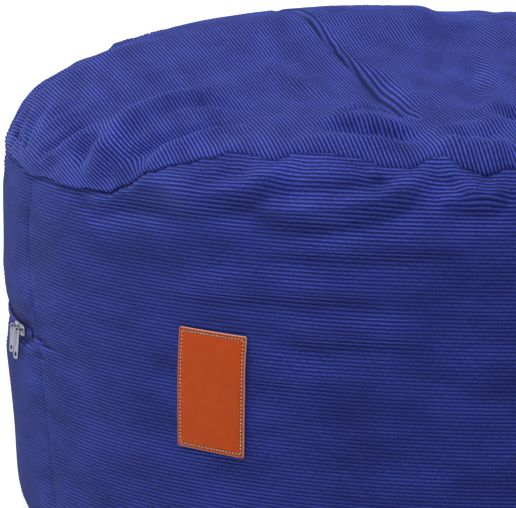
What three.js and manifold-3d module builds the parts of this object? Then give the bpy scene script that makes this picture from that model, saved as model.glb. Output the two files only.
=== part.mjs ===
// A drum-shaped bean bag footstool in wide-wale corduroy, filled and resting on a floor.
// Millimetres, +Z up. The origin is on the floor under the middle of the drum, and -Y is the front.
// A bearing is the angle in degrees round the drum from the front, towards -X.
import * as THREE from 'three';
import { mergeVertices } from 'three/addons/utils/BufferGeometryUtils.js';
import Module from 'manifold-3d';

const wasm = await Module();
wasm.setup();

// ---- driving dimensions ------------------------------------------------------------------

const GAP = 0.35; // between a sewn-on or fitted piece and what carries it

// The drum's even upright section, from the edge of its flat base to the middle of its crown.
const SECTION = [
  { radius: 286, height: 0 },
  { radius: 299, height: 3 },
  { radius: 309, height: 12 },
  { radius: 317, height: 23 },
  { radius: 321.5, height: 40 },
  { radius: 325, height: 84 },
  { radius: 328, height: 126 },
  { radius: 330, height: 167 },
  { radius: 329.6, height: 200 },
  { radius: 329.3, height: 234 },
  { radius: 327.3, height: 267 },
  { radius: 323, height: 281 },
  { radius: 318, height: 292 },
  { radius: 312, height: 300 },
  { radius: 302.5, height: 308 },
  { radius: 289, height: 316 },
  { radius: 276.5, height: 321.8 },
  { radius: 259, height: 329 },
  { radius: 240, height: 335 },
  { radius: 221, height: 339.4 },
  { radius: 202, height: 342.8 },
  { radius: 164, height: 347.2 },
  { radius: 125, height: 350.6 },
  { radius: 87, height: 352.6 },
  { radius: 43, height: 353.4 },
  { radius: 0, height: 353.4 },
];
const BAND_RADIUS = 329;
const BASE_SEAM_HEIGHT = 12;
const SEAM_DEPTH = 3.5; // how far a seam draws the cloth in
const SEAM_WIDTH = 8; // how far from the seam the cloth is drawn in

// The seam between the top panel and the band rises and dips in puckers. One sixth of the drum
// is given here, and the other sixths repeat it, turned or swapped end for end.
const TOP_SEAM = [
  { bearing: -2.3, height: 296 },
  { bearing: 0.4, height: 291.5 },
  { bearing: 2.3, height: 294 },
  { bearing: 4.6, height: 301 },
  { bearing: 6.2, height: 300 },
  { bearing: 8.2, height: 293.6 },
  { bearing: 10.5, height: 294.2 },
  { bearing: 13.8, height: 298 },
  { bearing: 17.5, height: 300 },
  { bearing: 20.7, height: 299.4 },
  { bearing: 23.5, height: 294.6 },
  { bearing: 26, height: 296.4 },
  { bearing: 28.5, height: 298.8 },
  { bearing: 31.5, height: 294 },
  { bearing: 35.1, height: 288.6 },
  { bearing: 38.5, height: 282.8 },
  { bearing: 41.8, height: 272.5 },
  { bearing: 44.7, height: 266.7 },
  { bearing: 53, height: 264.6 },
  { bearing: 57, height: 265.8 },
  { bearing: 62.3, height: 263 },
];
const SIXTHS = [
  { from: -2.3, to: 62.3, swapped: false, strength: 1, lift: 0 },
  { from: 62.3, to: 121.4, swapped: true, strength: 0.4, lift: 4 },
  { from: 121.4, to: 180.5, swapped: false, strength: 1.1, lift: -3 },
  { from: 180.5, to: 239.6, swapped: true, strength: 0.7, lift: 3 },
  { from: 239.6, to: 298.7, swapped: false, strength: 0.9, lift: -2 },
  { from: 298.7, to: 357.7, swapped: true, strength: 0.85, lift: 1 },
];
const SIXTH_EASE = 0.15; // the share of a sixth over which its own strength and lift come in
const SHARED_STRENGTH = 0.85; // the strength where two sixths meet

// Folds of the top panel near its rim, as x and y in the panel laid flat, with its middle at 0, 0.
// A fold is raised (rise over 0) or sunk, and is strongest at peak, a share of the way along.
const RIM_FOLDS = [
  {
    width: 13, rise: 6.5, peak: 0.5,
    path: [[-258, -246], [-231, -225], [-208, -189], [-181, -180], [-145, -207]],
  },
  { width: 14, rise: -8.4, peak: 0.4, path: [[-238, -252], [-206, -244], [-171, -234], [-123, -249]] },
  { width: 9, rise: 4, peak: 0.5, path: [[-326, -168], [-294, -186], [-259, -201], [-238, -205]] },
  { width: 9, rise: -4, peak: 0.5, path: [[-312, -170], [-285, -183], [-263, -184], [-251, -186]] },
  { width: 10, rise: -4, peak: 0.5, path: [[-274, -216], [-260, -214], [-245, -220]] },
  { width: 12, rise: 5, peak: 0.5, path: [[-270, -240], [-253, -236], [-237, -223]] },
  { width: 12, rise: 5, peak: 0.5, path: [[-252, -254], [-223, -263], [-200, -270]] },
  { width: 12, rise: 6.4, peak: 0.6, path: [[-106, -247], [-79, -264], [-55, -278], [-35, -286]] },
  { width: 11, rise: -5.3, peak: 0.5, path: [[-110, -259], [-86, -271], [-55, -288], [-37, -298]] },
  { width: 13, rise: 5.1, peak: 0.5, path: [[-125, -284], [-87, -300], [-70, -302], [-45, -300]] },
  { width: 10, rise: 4.2, peak: 0.5, path: [[-47, -303], [-20, -280], [8, -271]] },
  { width: 15, rise: 7.1, peak: 0.5, path: [[-36, -313], [-7, -307], [17, -315]] },
];

// Long creases, broad hollows and swells across the crown, in the same flat measure.
const CROWN_FOLDS = [
  {
    width: 11, rise: -9, peak: 0.6,
    path: [
      [-176, 130], [-154, 64], [-121, -38], [-103, -88],
      [-84, -138], [-69, -192], [-56, -237], [-48, -262],
    ],
  },
  { width: 70, rise: 4.5, peak: 0.5, path: [[-240, 0], [-100, 5], [0, 10], [200, 20]] },
  { width: 80, rise: -9, peak: 0.5, path: [[-220, 140], [0, 150], [200, 140]] },
  { width: 34, rise: -5, peak: 0.5, path: [[14, -160], [16, -40], [18, 100], [40, 300]] },
  { width: 30, rise: -3.5, peak: 0.5, path: [[-310, -150], [-336, 0], [-310, 150]] },
  { width: 40, rise: -3, peak: 0.5, path: [[-280, -100], [-262, 90], [-225, 150], [-150, 210]] },
  { width: 17, rise: -5.7, peak: 0.5, path: [[-34, 100], [-32, -35], [-33, -183]] },
  { width: 19, rise: -7.9, peak: 0.5, path: [[-16, 150], [-14, -11], [-13, -85], [-7, -260]] },
  { width: 16, rise: 4.6, peak: 0.6, path: [[1, -17], [1, -134], [-1, -248], [19, -270]] },
  { width: 15, rise: -6.4, peak: 0.5, path: [[3, -235], [12, -250], [24, -252]] },
  { width: 12, rise: -7, peak: 0.7, path: [[70, 10], [110, -110], [142, -190], [160, -250]] },
  { width: 15, rise: 4, peak: 0.6, path: [[120, -30], [160, -130], [186, -200]] },
  { width: 12, rise: -7, peak: 0.7, path: [[60, 70], [120, 150], [150, 240]] },
  { width: 14, rise: -6, peak: 0.6, path: [[-60, 100], [-90, 190], [-150, 260]] },
  { width: 14, rise: -5, peak: 0.6, path: [[-120, 20], [-220, 40], [-300, 30]] },
  { width: 14, rise: -5, peak: 0.6, path: [[130, 30], [230, 50], [300, 90]] },
];
// At the front the fill has slumped, and the crown falls straight from its middle to the seam.
const FRONT_SLUMP = [
  { reach: 0, rise: 0 }, { reach: 50, rise: -5.5 }, { reach: 100, rise: -13 }, { reach: 150, rise: -19 },
  { reach: 200, rise: -22.5 }, { reach: 240, rise: -22 }, { reach: 265, rise: -18.5 },
  { reach: 285, rise: -14 }, { reach: 303, rise: -8 }, { reach: 320, rise: -3 }, { reach: 337, rise: 0 },
];
const SLUMP_SIDE = { from: 34, to: 84 }; // bearings between which the slump dies out

// Folds of the band, as bearing and height.
const BAND_FOLDS = [
  { width: 13, rise: 9, peak: 0.5, path: [[20, 300], [21.6, 291], [25.1, 277], [33, 270], [46, 268]] },
  { width: 9, rise: -3, peak: 0.5, path: [[21.7, 277], [24.1, 270], [27.1, 265], [31, 263]] },
  { width: 13, rise: 11, peak: 0.5, path: [[5.8, 300], [8.6, 283], [14.9, 270], [20.8, 266], [26, 267]] },
  { width: 8, rise: -4, peak: 0.5, path: [[8.4, 295], [12, 281], [21, 275], [25, 277]] },
  { width: 11, rise: -3, peak: 0.5, path: [[6.5, 277], [12.3, 263], [22.5, 258]] },
  { width: 10, rise: 9, peak: 0.5, path: [[-4, 294], [0, 278], [2.5, 286], [5.6, 298]] },
  { width: 10, rise: -3, peak: 0.5, path: [[-3, 274], [-0.3, 269], [5, 269]] },
  { width: 10, rise: 6, peak: 0.5, path: [[36, 280], [42.1, 267], [47, 261], [51, 263]] },
  { width: 10, rise: -3, peak: 0.5, path: [[32, 264], [41.1, 257], [46, 253]] },
];
const FOLD_ENDS = 0.6; // the share of its length over which a fold rises to full height

// The band's two upright seams lean a little as they go up.
const UPRIGHT_SEAM = [
  { height: 12, bearing: 58.6 },
  { height: 98, bearing: 59.2 },
  { height: 158, bearing: 60.3 },
  { height: 204, bearing: 63 },
  { height: 229, bearing: 63.4 },
  { height: 263, bearing: 62.3 },
];
const UPRIGHT_SEAM_BEARING = 61;
const LEAN_REACH = { whole: 1.2, none: 14 }; // degrees beside a seam that follow its lean

// The zip runs round the back, from one upright seam to the other.
const ZIP_HEIGHT = 158;
const ZIP_START_BEARING = 63;
const ZIP_EASE = 4; // degrees over which the groove deepens
const ZIP_FLOOR = 4.6; // half the height of the groove's flat floor
const ZIP_LIP = 12; // half the height of the groove at the cloth's face
const ZIP_DEPTH = 4.2;
const ZIP_TAPE = { half: 4, thick: 0.8 };
const ZIP_COIL = { half: 2.4, thick: 2 };

// Two sliders stand head to head, and the pulls hang from the rear leg of each slider's bail.
const SLIDERS = [
  { side: 'left', bearing: 68, turn: 0, pullDrop: 17 },
  { side: 'right', bearing: 65.8, turn: 180, pullDrop: 19 },
];
// A pull hangs turned a little towards the front, with its lower end out on the swell of the cloth.
const PULL_TURN = 24;
const PULL_SWING = 4;
const SLIDER = { length: 11, width: 7.6, thick: 1.5, bevel: 0.3, nose: 0.36, tail: 0.3, shoulder: 0.2 };
const BAIL = { span: 4.4, rise: 3.1, wire: 1.1, foot: 0.6 };
const PULL = { width: 5, thick: 1.2, eye: 2.9, hole: 1.9, holeUp: 3.1, tip: 1 };

const PATCH = { width: 48, height: 73, thick: 1.3, bearing: 29.4, middle: 154, corner: 1.5 };

// How finely the cover is faceted.
const COLUMN_STEP = 3;
const LOW_ROWS = [12, 17, 28, 48, 74, 100, 126]; // heights under the zip
const HIGH_ROWS = [0.16, 0.32, 0.47, 0.61, 0.73, 0.83, 0.91, 0.97]; // shares of the way up to the seam
const SECTION_SAMPLES = 1200;
const HALVINGS = 26; // in the search for a height along the section
const TOP_ROWS = [0.985, 0.96, 0.93, 0.895, 0.86, 0.82, 0.775, 0.73, 0.68, 0.62, 0.55, 0.47]; // of the reach
const MIDDLE_ROWS = [0.38, 0.27, 0.15]; // rings with every second column

// ---- small helpers -----------------------------------------------------------------------

const radians = THREE.MathUtils.degToRad;
const lerp = THREE.MathUtils.lerp;
const smooth = THREE.MathUtils.smoothstep;
const turned = (bearing) => THREE.MathUtils.euclideanModulo(bearing - SIXTHS[0].from, 360) + SIXTHS[0].from;
const signed = (bearing) => THREE.MathUtils.euclideanModulo(bearing + 180, 360) - 180;

const gently = (share) => smooth(share, 0, 1);
const evenly = (share) => share;

// The value at x of a table's column, eased from row to row.
function readTable(table, key, column, x, ease = gently) {
  const last = table.length - 1;
  if (x <= table[0][key]) return table[0][column];
  if (x >= table[last][key]) return table[last][column];
  const i = table.findIndex((row) => row[key] > x) - 1;
  const share = (x - table[i][key]) / (table[i + 1][key] - table[i][key]);
  return lerp(table[i][column], table[i + 1][column], ease(share));
}

// How far a fold raises the cloth at a place in the fold's own flat measure.
function foldRise(fold, x, y) {
  let nearest = Infinity;
  let along = 0;
  const pieces = fold.path.length - 1;
  for (let i = 0; i < pieces; i++) {
    const [ax, ay] = fold.path[i];
    const [bx, by] = fold.path[i + 1];
    const length2 = (bx - ax) ** 2 + (by - ay) ** 2;
    const t = THREE.MathUtils.clamp(((x - ax) * (bx - ax) + (y - ay) * (by - ay)) / length2, 0, 1);
    const distance = Math.hypot(x - lerp(ax, bx, t), y - lerp(ay, by, t));
    if (distance < nearest) {
      nearest = distance;
      along = (i + t) / pieces;
    }
  }
  const end = along < fold.peak ? along / fold.peak : (1 - along) / (1 - fold.peak);
  return fold.rise * smooth(end, 0, FOLD_ENDS) * Math.exp(-((nearest / fold.width) ** 2));
}
const totalRise = (folds, x, y) => folds.reduce((sum, fold) => sum + foldRise(fold, x, y), 0);

// ---- the cover's surface -----------------------------------------------------------------

const section = new THREE.CatmullRomCurve3(
  SECTION.map(({ radius, height }) => new THREE.Vector3(radius, 0, height)), false, 'centripetal');
section.arcLengthDivisions = SECTION_SAMPLES;
const sectionLength = section.getLength();

// How far along the section a height comes, as a share of it.
function shareAtHeight(height) {
  let low = 0;
  let high = 1;
  for (let i = 0; i < HALVINGS; i++) {
    const middle = (low + high) / 2;
    if (section.getPointAt(middle).z < height) low = middle;
    else high = middle;
  }
  return (low + high) / 2;
}

// The sixth that a bearing is in, and the bearing in the first sixth that it repeats.
function repeated(bearing) {
  const at = turned(bearing);
  const sixth = SIXTHS.find(({ to }) => at < to) ?? SIXTHS[SIXTHS.length - 1];
  const first = SIXTHS[0];
  let share = (at - sixth.from) / (sixth.to - sixth.from);
  const edge = Math.min(1, Math.min(share, 1 - share) / SIXTH_EASE);
  if (sixth.swapped) share = 1 - share;
  return {
    bearing: lerp(first.from, first.to, share),
    strength: lerp(SHARED_STRENGTH, sixth.strength, sixth === first ? 1 : smooth(edge, 0, 1)),
    lift: sixth.lift * smooth(edge, 0, 1),
  };
}

function topSeamHeight(bearing) {
  const { bearing: source, lift } = repeated(bearing);
  return readTable(TOP_SEAM, 'bearing', 'height', source) + lift;
}
const seamDip = (distance) => -SEAM_DEPTH * Math.exp(-((distance / SEAM_WIDTH) ** 2));
const nearSeam = (distance) => 1 - Math.exp(-((distance / SEAM_WIDTH) ** 2));

const uprightSeamBearing = (height) => readTable(UPRIGHT_SEAM, 'height', 'bearing', height);

// The groove that holds the zip: a flat floor between two rounded lips, round the back only.
function zipDip(bearing, height) {
  const round = Math.abs(signed(bearing));
  const start = smooth(round, ZIP_START_BEARING - ZIP_EASE, ZIP_START_BEARING);
  const off = Math.abs(height - ZIP_HEIGHT);
  return -ZIP_DEPTH * start * (1 - smooth(off, ZIP_FLOOR, ZIP_LIP));
}

function bandRise(bearing, height, fromTopSeam) {
  const { bearing: source, strength } = repeated(bearing);
  const across = (degrees) => radians(degrees) * BAND_RADIUS;
  const flat = BAND_FOLDS.map((fold) => ({ ...fold, path: fold.path.map(([b, h]) => [across(b), h]) }));
  const folds = strength * totalRise(flat, across(source), height) * nearSeam(fromTopSeam);
  const fromUpright = across(Math.abs(Math.abs(signed(bearing)) - uprightSeamBearing(height)));
  const seams = seamDip(fromTopSeam) + seamDip(height - BASE_SEAM_HEIGHT) + 0.6 * seamDip(fromUpright * 1.4);
  return folds + seams + zipDip(bearing, height);
}

function frontSlump(bearing, reach) {
  const share = 1 - smooth(Math.abs(signed(bearing)), SLUMP_SIDE.from, SLUMP_SIDE.to);
  return share * readTable(FRONT_SLUMP, 'reach', 'rise', reach, evenly);
}

function topRise(bearing, reach, fromTopSeam) {
  const { bearing: source, strength } = repeated(bearing);
  const flat = (b) => [-reach * Math.sin(radians(b)), -reach * Math.cos(radians(b))];
  const rim = strength * totalRise(RIM_FOLDS, ...flat(source));
  const crown = totalRise(CROWN_FOLDS, ...flat(bearing)) + frontSlump(bearing, reach);
  return (rim + crown) * nearSeam(fromTopSeam) + seamDip(fromTopSeam);
}

// A point at a share of the section, raised off it, and turned round to a bearing.
function raisedPoint(bearing, share, rise) {
  const point = section.getPointAt(share);
  const tangent = section.getTangentAt(share);
  const radius = point.x + tangent.z * rise;
  const height = point.z - tangent.x * rise;
  const turn = radians(bearing);
  return new THREE.Vector3(-radius * Math.sin(turn), -radius * Math.cos(turn), height);
}

function bandPoint(bearing, height, out = 0) {
  const share = shareAtHeight(height);
  const fromTopSeam = (shareAtHeight(topSeamHeight(bearing)) - share) * sectionLength;
  return raisedPoint(bearing, share, bandRise(bearing, height, fromTopSeam) + out);
}

function topPoint(bearing, reachShare) {
  const seamReach = (1 - shareAtHeight(topSeamHeight(bearing))) * sectionLength;
  const reach = reachShare * seamReach;
  return raisedPoint(bearing, 1 - reach / sectionLength, topRise(bearing, reach, seamReach - reach));
}

// ---- the filled cover --------------------------------------------------------------------

// The columns' bearings, with closer ones along the upright seams, which they follow.
const columns = [];
for (let bearing = 0; bearing < 360; bearing += COLUMN_STEP) columns.push(bearing);
for (const side of [1, -1]) {
  for (const near of [-1, 1]) columns.push(turned(side * (UPRIGHT_SEAM_BEARING + near)));
  columns[columns.indexOf(turned(side * 60))] = turned(side * UPRIGHT_SEAM_BEARING);
}
columns.sort((a, b) => a - b);

function followSeam(bearing, height) {
  const round = signed(bearing);
  const off = Math.abs(Math.abs(round) - UPRIGHT_SEAM_BEARING);
  const lean = uprightSeamBearing(height) - UPRIGHT_SEAM_BEARING;
  return bearing + Math.sign(round) * lean * (1 - smooth(off, LEAN_REACH.whole, LEAN_REACH.none));
}

// Joins rings of points, from the base up, into one closed skin with its faces pointing out.
function skinOfRings(rings, base, crown) {
  const points = [];
  const faces = [];
  const starts = rings.map((ring) => points.push(...ring) - ring.length);
  const baseIndex = points.push(base) - 1;
  const crownIndex = points.push(crown) - 1;
  const at = (ring, i) => starts[ring] + (i % rings[ring].length);
  for (let ring = 0; ring + 1 < rings.length; ring++) {
    const every = rings[ring].length / rings[ring + 1].length;
    for (let i = 0; i < rings[ring + 1].length; i++) {
      const [a, b] = [at(ring, i * every), at(ring, (i + 1) * every)];
      const [c, d] = [at(ring + 1, i + 1), at(ring + 1, i)];
      const between = at(ring, i * every + every / 2);
      if (every === 1) faces.push(a, c, b, a, d, c);
      else faces.push(a, d, between, between, d, c, between, c, b);
    }
  }
  for (let i = 0; i < rings[0].length; i++) faces.push(at(0, i), at(0, i + 1), baseIndex);
  const last = rings.length - 1;
  for (let i = 0; i < rings[last].length; i++) faces.push(at(last, i + 1), at(last, i), crownIndex);
  const geometry = new THREE.BufferGeometry().setFromPoints(points);
  geometry.setIndex(faces);
  return geometry;
}

function coverGeometry() {
  const zipTop = ZIP_HEIGHT + ZIP_LIP;
  const zipRows = [-ZIP_LIP, -ZIP_FLOOR, ZIP_FLOOR, ZIP_LIP].map((off) => ZIP_HEIGHT + off);
  const rings = [columns.map((bearing) => raisedPoint(bearing, 0, 0))];
  rings.push(columns.map((bearing) => raisedPoint(bearing, shareAtHeight(3), 0)));
  for (const height of [...LOW_ROWS, ...zipRows]) {
    rings.push(columns.map((bearing) => bandPoint(followSeam(bearing, height), height)));
  }
  for (const share of HIGH_ROWS) {
    rings.push(columns.map((bearing) => {
      const height = lerp(zipTop, topSeamHeight(bearing), share);
      return bandPoint(followSeam(bearing, height), height);
    }));
  }
  for (const share of [1, ...TOP_ROWS]) rings.push(columns.map((bearing) => topPoint(bearing, share)));
  const everySecond = columns.filter((bearing, i) => i % 2 === 0);
  for (const share of MIDDLE_ROWS) rings.push(everySecond.map((bearing) => topPoint(bearing, share)));
  return skinOfRings(rings, new THREE.Vector3(0, 0, 0), topPoint(0, 0));
}

// ---- zip, sliders, pulls and patch -------------------------------------------------------

// Joins closed cross-sections, each a ring of points in the same order, with a flat end at each end.
function skinOfSections(sections) {
  const count = sections[0].length;
  const faces = [];
  for (let s = 0; s + 1 < sections.length; s++) {
    for (let i = 0; i < count; i++) {
      const [a, b] = [s * count + i, s * count + ((i + 1) % count)];
      faces.push(a, b + count, b, a, a + count, b + count);
    }
  }
  const end = (sections.length - 1) * count;
  for (let i = 1; i + 1 < count; i++) faces.push(0, i, i + 1, end, end + i + 1, end + i);
  const geometry = new THREE.BufferGeometry().setFromPoints(sections.flat());
  geometry.setIndex(faces);
  return geometry;
}

// The tape lies on the groove's floor with the coil standing on it.
function zipGeometry() {
  const outline = [
    [-ZIP_TAPE.half, 0], [ZIP_TAPE.half, 0], [ZIP_TAPE.half, ZIP_TAPE.thick], [ZIP_COIL.half, ZIP_TAPE.thick],
    [ZIP_COIL.half * 0.8, ZIP_COIL.thick], [-ZIP_COIL.half * 0.8, ZIP_COIL.thick],
    [-ZIP_COIL.half, ZIP_TAPE.thick], [-ZIP_TAPE.half, ZIP_TAPE.thick],
  ];
  const round = columns.filter((b) => b > ZIP_START_BEARING && b < 360 - ZIP_START_BEARING);
  return skinOfSections(round.map((bearing) => outline.map(([up, out]) => {
    const floor = bandPoint(followSeam(bearing, ZIP_HEIGHT), ZIP_HEIGHT);
    const point = floor.clone().setZ(0);
    return point.setLength(point.length() + GAP + out).setZ(ZIP_HEIGHT + up);
  })));
}

function asSolid(geometry) {
  const bare = geometry.clone();
  bare.deleteAttribute('normal');
  bare.deleteAttribute('uv');
  const merged = mergeVertices(bare, 1e-4);
  return new wasm.Manifold(new wasm.Mesh({
    numProp: 3,
    vertProperties: new Float32Array(merged.attributes.position.array),
    triVerts: new Uint32Array(merged.index.array),
  }));
}

function asGeometry(solid) {
  const mesh = solid.getMesh();
  const geometry = new THREE.BufferGeometry();
  geometry.setAttribute('position', new THREE.BufferAttribute(new Float32Array(mesh.vertProperties), 3));
  geometry.setIndex(new THREE.BufferAttribute(new Uint32Array(mesh.triVerts), 1));
  return geometry;
}

// A slider in its own frame: x along the zip, y up the band, z out from the band, on the coil at z = 0.
function sliderGeometry() {
  const { length, width, thick, bevel } = SLIDER;
  const nose = width * SLIDER.nose;
  const [tail, shoulder] = [width * SLIDER.tail, length * SLIDER.shoulder];
  const outline = new THREE.Shape();
  outline.moveTo(-length / 2, -tail);
  outline.lineTo(-shoulder, -width / 2);
  outline.lineTo(length / 2 - nose, -width / 2);
  outline.absarc(length / 2 - nose, -width / 2 + nose, nose, -Math.PI / 2, 0);
  outline.absarc(length / 2 - nose, width / 2 - nose, nose, 0, Math.PI / 2);
  outline.lineTo(-shoulder, width / 2);
  outline.lineTo(-length / 2, tail);
  const plate = new THREE.ExtrudeGeometry(outline, {
    depth: thick - 2 * bevel,
    bevelThickness: bevel,
    bevelSize: bevel,
    bevelOffset: -bevel,
    bevelSegments: 1,
    curveSegments: 4,
  });
  plate.translate(0, 0, bevel);
  const { span, rise, wire, foot } = BAIL;
  const line = [
    [-span / 2, -foot], [-span / 2, rise * 0.7], [-span / 4, rise - wire / 2],
    [span / 4, rise - wire / 2], [span / 2, rise * 0.7], [span / 2, -foot],
  ];
  const arch = new THREE.CatmullRomCurve3(line.map(([x, up]) => new THREE.Vector3(x, 0, thick + up)));
  const round = new THREE.Shape().absarc(0, 0, wire / 2, 0, Math.PI * 2);
  const bail = new THREE.ExtrudeGeometry(round, { steps: 18, curveSegments: 4, extrudePath: arch });
  return asGeometry(asSolid(plate).add(asSolid(bail)));
}

// A pull in its own frame: hanging down y from its eye at 0, 0, with its back at z = 0.
function pullGeometry(drop) {
  const { width, thick, eye, hole, holeUp, tip } = PULL;
  const half = width / 2;
  const outline = new THREE.Shape();
  outline.moveTo(-half * 0.86, -drop + tip);
  outline.lineTo(-half * 0.6, -drop);
  outline.lineTo(half * 0.6, -drop);
  outline.lineTo(half * 0.86, -drop + tip);
  outline.lineTo(half, 0);
  outline.absarc(0, 0, half, 0, Math.PI);
  const eyelet = new THREE.Path().absarc(0, 0, eye / 2, 0, Math.PI * 2, true);
  const slot = new THREE.Path().absellipse(0, -drop + holeUp, hole / 2, hole * 0.8, 0, Math.PI * 2, true);
  outline.holes.push(eyelet, slot);
  return new THREE.ExtrudeGeometry(outline, { depth: thick, bevelEnabled: false, curveSegments: 7 });
}

// Where a fitting stands on the zip: its turn, so that its z points out of the band, and its distance out.
function placeOnZip(mesh, bearing, out) {
  const floor = bandPoint(bearing, ZIP_HEIGHT).setZ(0).length();
  const radius = floor + out;
  mesh.position.set(-radius * Math.sin(radians(bearing)), -radius * Math.cos(radians(bearing)), ZIP_HEIGHT);
  const outward = mesh.position.clone().setZ(0).normalize();
  const up = new THREE.Vector3(0, 0, 1);
  const along = up.clone().cross(outward);
  mesh.quaternion.setFromRotationMatrix(new THREE.Matrix4().makeBasis(along, up, outward));
  return mesh;
}

// A rounded rectangle of leatherette, bent to the band.
function patchGeometry() {
  const [across, up] = [8, 8];
  const layer = (out) => {
    const rows = [];
    for (let j = 0; j <= up; j++) {
      for (let i = 0; i <= across; i++) {
        const [u, v] = [i / across - 0.5, j / up - 0.5];
        const trim = Math.abs(v) === 0.5 && Math.abs(u) === 0.5 ? PATCH.corner * 0.3 : 0;
        const bearing = PATCH.bearing - THREE.MathUtils.radToDeg((u * (PATCH.width - trim)) / BAND_RADIUS);
        rows.push(bandPoint(bearing, PATCH.middle + v * (PATCH.height - trim), out));
      }
    }
    return rows;
  };
  const points = [...layer(GAP), ...layer(GAP + PATCH.thick)];
  const wide = across + 1;
  const front = wide * (up + 1);
  const faces = [];
  const quad = (a, b, c, d) => faces.push(a, b, c, a, c, d);
  for (let j = 0; j < up; j++) {
    for (let i = 0; i < across; i++) {
      const a = j * wide + i;
      quad(front + a, front + a + 1, front + a + wide + 1, front + a + wide);
      quad(a, a + wide, a + wide + 1, a + 1);
    }
    const [left, right] = [j * wide, j * wide + across];
    quad(left, front + left, front + left + wide, left + wide);
    quad(right, right + wide, front + right + wide, front + right);
  }
  for (let i = 0; i < across; i++) {
    const top = up * wide + i;
    quad(i, i + 1, front + i + 1, front + i);
    quad(top, front + top, front + top + 1, top + 1);
  }
  const geometry = new THREE.BufferGeometry().setFromPoints(points);
  geometry.setIndex(faces);
  return geometry;
}

// ---- materials and the assembly ----------------------------------------------------------

const corduroy = new THREE.MeshStandardMaterial({ color: '#2b35a0', roughness: 0.9, metalness: 0 });
const tape = new THREE.MeshStandardMaterial({ color: '#1d2470', roughness: 0.75, metalness: 0 });
const nickel = new THREE.MeshStandardMaterial({ color: '#c9c9cc', roughness: 0.3, metalness: 1 });
const leatherette = new THREE.MeshStandardMaterial({ color: '#c4541c', roughness: 0.6, metalness: 0 });

function named(name, geometry, material) {
  const mesh = new THREE.Mesh(geometry, material);
  mesh.name = name;
  return mesh;
}

const group = new THREE.Group();
group.add(named('filled_cover', coverGeometry(), corduroy));
group.add(named('zip_chain', zipGeometry(), tape));
group.add(named('patch', patchGeometry(), leatherette));
const onCoil = GAP + ZIP_COIL.thick + GAP;
for (const { side, bearing, turn, pullDrop } of SLIDERS) {
  const turnedBody = sliderGeometry().rotateZ(radians(turn));
  const slider = placeOnZip(named(`slider_${side}`, turnedBody, nickel), bearing, onCoil);
  const pull = named(`pull_${side}`, pullGeometry(pullDrop), nickel);
  const clearance = (PULL.width / 2) * Math.sin(radians(PULL_TURN));
  pull.position.set(-BAIL.span / 2, 0, SLIDER.thick + GAP + clearance);
  pull.rotation.set(radians(-PULL_SWING), radians(PULL_TURN), 0);
  const holder = placeOnZip(new THREE.Group(), bearing, onCoil);
  holder.add(pull);
  group.add(slider, holder);
}

export default group;
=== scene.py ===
import math

import bmesh
import bpy
import numpy as np
from mathutils import Matrix, Vector


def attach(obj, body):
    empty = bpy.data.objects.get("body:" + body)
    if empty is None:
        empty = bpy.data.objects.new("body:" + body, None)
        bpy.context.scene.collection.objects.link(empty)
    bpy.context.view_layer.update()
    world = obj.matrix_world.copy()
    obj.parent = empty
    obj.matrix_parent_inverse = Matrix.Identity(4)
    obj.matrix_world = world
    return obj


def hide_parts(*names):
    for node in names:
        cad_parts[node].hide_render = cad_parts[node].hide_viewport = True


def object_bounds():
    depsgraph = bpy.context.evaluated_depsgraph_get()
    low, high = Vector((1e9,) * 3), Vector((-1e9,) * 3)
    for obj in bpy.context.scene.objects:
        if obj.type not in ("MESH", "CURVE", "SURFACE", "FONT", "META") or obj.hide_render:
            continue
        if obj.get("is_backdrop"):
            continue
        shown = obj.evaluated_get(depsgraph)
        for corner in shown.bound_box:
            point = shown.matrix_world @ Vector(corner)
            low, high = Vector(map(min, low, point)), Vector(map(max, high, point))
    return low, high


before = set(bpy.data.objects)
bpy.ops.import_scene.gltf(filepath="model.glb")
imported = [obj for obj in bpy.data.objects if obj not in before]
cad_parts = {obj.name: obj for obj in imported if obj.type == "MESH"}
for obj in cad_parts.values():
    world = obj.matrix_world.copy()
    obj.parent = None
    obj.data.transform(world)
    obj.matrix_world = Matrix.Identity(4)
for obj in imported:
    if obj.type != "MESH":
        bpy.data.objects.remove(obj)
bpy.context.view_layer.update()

# ---- The sewn and filled cover -------------------------------------------------------------------
# A drum of corduroy, sewn from a top panel, a side band and a base panel, is packed with soft fill.
# The fill rounds it out and settles it, and the cloth puckers where seams hold it back.
# Sizes are in millimetres. A bearing is the angle in degrees from the front towards the left.

MM = 0.001
BAND_RADIUS = 329  # at which lengths round the band are measured
TURN_IN = 4.5  # seam allowance folded inwards

# the drum's even section, from the edge of the flat base to the middle of the crown
SECTION = (
    # radius, height
    (286, 0), (299, 3), (309, 12), (317, 23), (321.5, 40), (325, 84), (328, 126), (330, 167),
    (329.6, 200), (329.3, 234), (327.3, 267), (323, 281), (318, 292), (312, 300), (302.5, 308),
    (289, 316), (276.5, 321.8), (259, 329), (240, 335), (221, 339.4), (202, 342.8), (164, 347.2),
    (125, 350.6), (87, 352.6), (43, 353.4), (0, 353.4),
)
BASE_SEAM = 12  # height
SEAM_DIP = 1.3  # how far a seam draws the cloth in
SEAM_REACH = 2.2  # how far from the seam that dies out
SEAM_CLEAR = 8  # how far from the top seam its stitches hold the folds flat
UPRIGHT_DIP, UPRIGHT_NARROW = 0.5, 1.3  # an upright seam's dip is shallower and narrower by these
EDGE_PUFF, PUFF_INSIDE, PUFF_WIDTH = 2.5, 14, 10  # how the top panel swells beside its seam

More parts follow.
